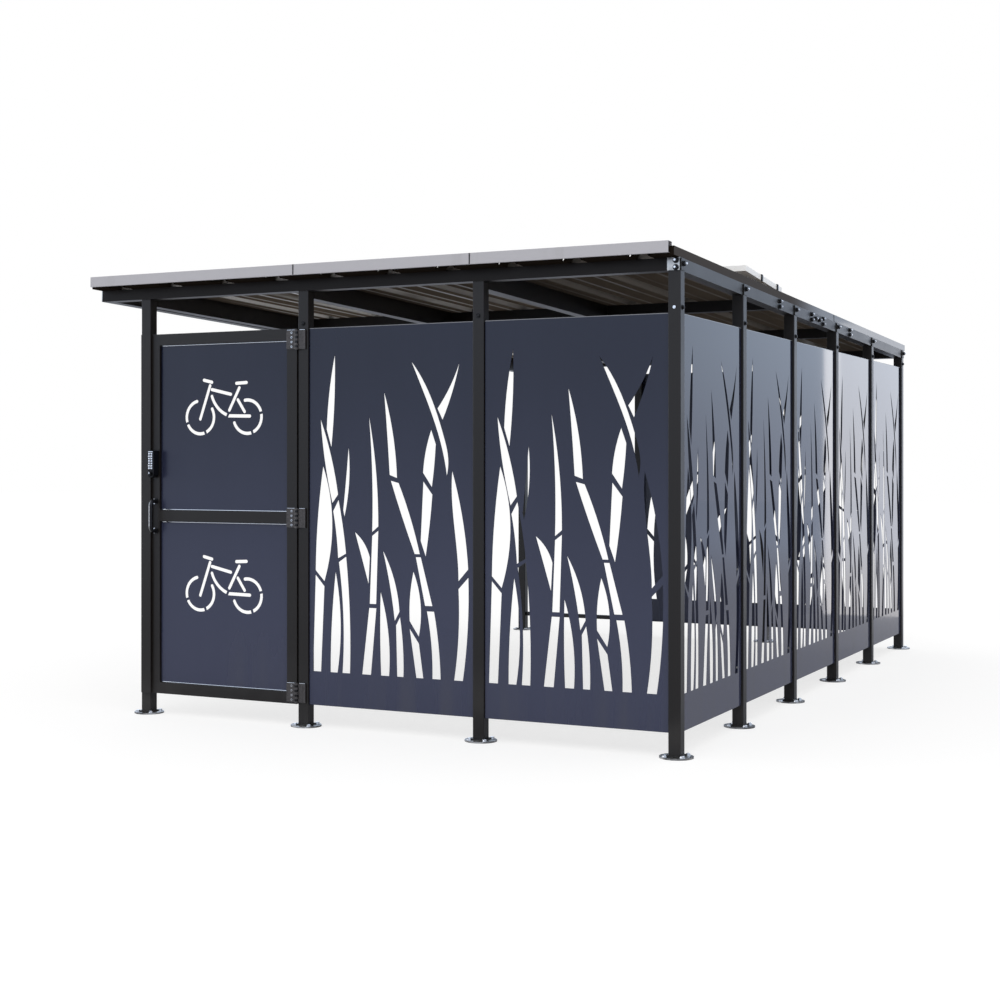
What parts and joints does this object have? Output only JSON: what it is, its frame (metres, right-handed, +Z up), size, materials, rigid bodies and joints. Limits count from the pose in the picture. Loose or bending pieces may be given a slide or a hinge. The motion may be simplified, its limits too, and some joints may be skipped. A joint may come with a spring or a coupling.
{
  "type": "bike shelter",
  "caption": "Flat-roofed steel bike shelter on square posts, with reed-pattern laser-cut panels, a hinged stencilled door with code lock, and a ribbed roof; its eaves side is open.",
  "frame": {"origin": "on the ground, under the middle of the whole outline", "axes": "+X to the right along the door front, +Y from the door front to the back, +Z up"},
  "size_m": [3.38, 5.2207, 2.4228],
  "materials": {
    "frame_paint": "satin",
    "sheet_paint": "satin",
    "fascia_paint": "satin",
    "deck_coating": "satin",
    "galvanised": "galvanised",
    "lock_case": "satin",
    "bright_metal": "polished",
    "handle_coating": "gloss",
    "solar_glass": "gloss",
    "stand_aluminium": "mill"
  },
  "bodies": {
    "shelter": {"back_beam": "frame_paint", "back_left_post": "frame_paint", "back_panel_1": "sheet_paint", "back_panel_2": "sheet_paint", "back_post_left": "frame_paint", "back_post_right": "frame_paint", "back_rail": "frame_paint", "back_right_post": "frame_paint", "beam_end_plates": "galvanised", "beam_splice": "frame_paint", "cross_beam_1": "frame_paint", "cross_beam_2": "frame_paint", "eaves_beam": "frame_paint", "foot_plates": "galvanised", "front_beam": "frame_paint", "front_fascia": "fascia_paint", "front_left_post": "frame_paint", "front_middle_post": "frame_paint", "front_panel_1": "sheet_paint", "front_panel_2": "sheet_paint", "front_right_post": "frame_paint", "hinge_post": "frame_paint", "inner_beams": "frame_paint", "left_beam": "frame_paint", "left_roof_trim": "deck_coating", "post_hinge_leaves": "frame_paint", "right_beam_back": "frame_paint", "right_beam_front": "frame_paint", "right_panel_1": "sheet_paint", "right_panel_2": "sheet_paint", "right_panel_3": "sheet_paint", "right_panel_4": "sheet_paint", "right_panel_5": "sheet_paint", "right_post_1": "frame_paint", "right_post_2": "frame_paint", "right_post_3": "frame_paint", "right_post_4": "frame_paint", "right_roof_trim": "deck_coating", "roof_sheet_1": "deck_coating", "roof_sheet_2": "deck_coating", "roof_sheet_3": "deck_coating", "solar_panel": "solar_glass", "solar_stand": "stand_aluminium"},
    "door": {"door_stiles": "frame_paint", "door_rails": "frame_paint", "door_sheet_lower": "sheet_paint", "door_sheet_upper": "sheet_paint", "door_cover_strip": "frame_paint", "door_hinge_leaves": "frame_paint", "code_lock": "lock_case", "lock_buttons": "bright_metal", "pull_handle": "handle_coating"},
    "lock_knob": {"lock_knob": "bright_metal"}
  },
  "joints": [
    {"name": "door_hinge", "type": "hinge", "parent": "shelter", "child": "door", "pos_m": [-0.4225, -2.52502, 1.08], "axis": [0, 0, 1], "range_deg": [0, 160]},
    {"name": "lock_knob_turn", "type": "hinge", "parent": "door", "child": "lock_knob", "pos_m": [-1.322, -2.56052, 1.301], "axis": [0, -1, 0], "range_deg": [-90, 0]}
  ]
}
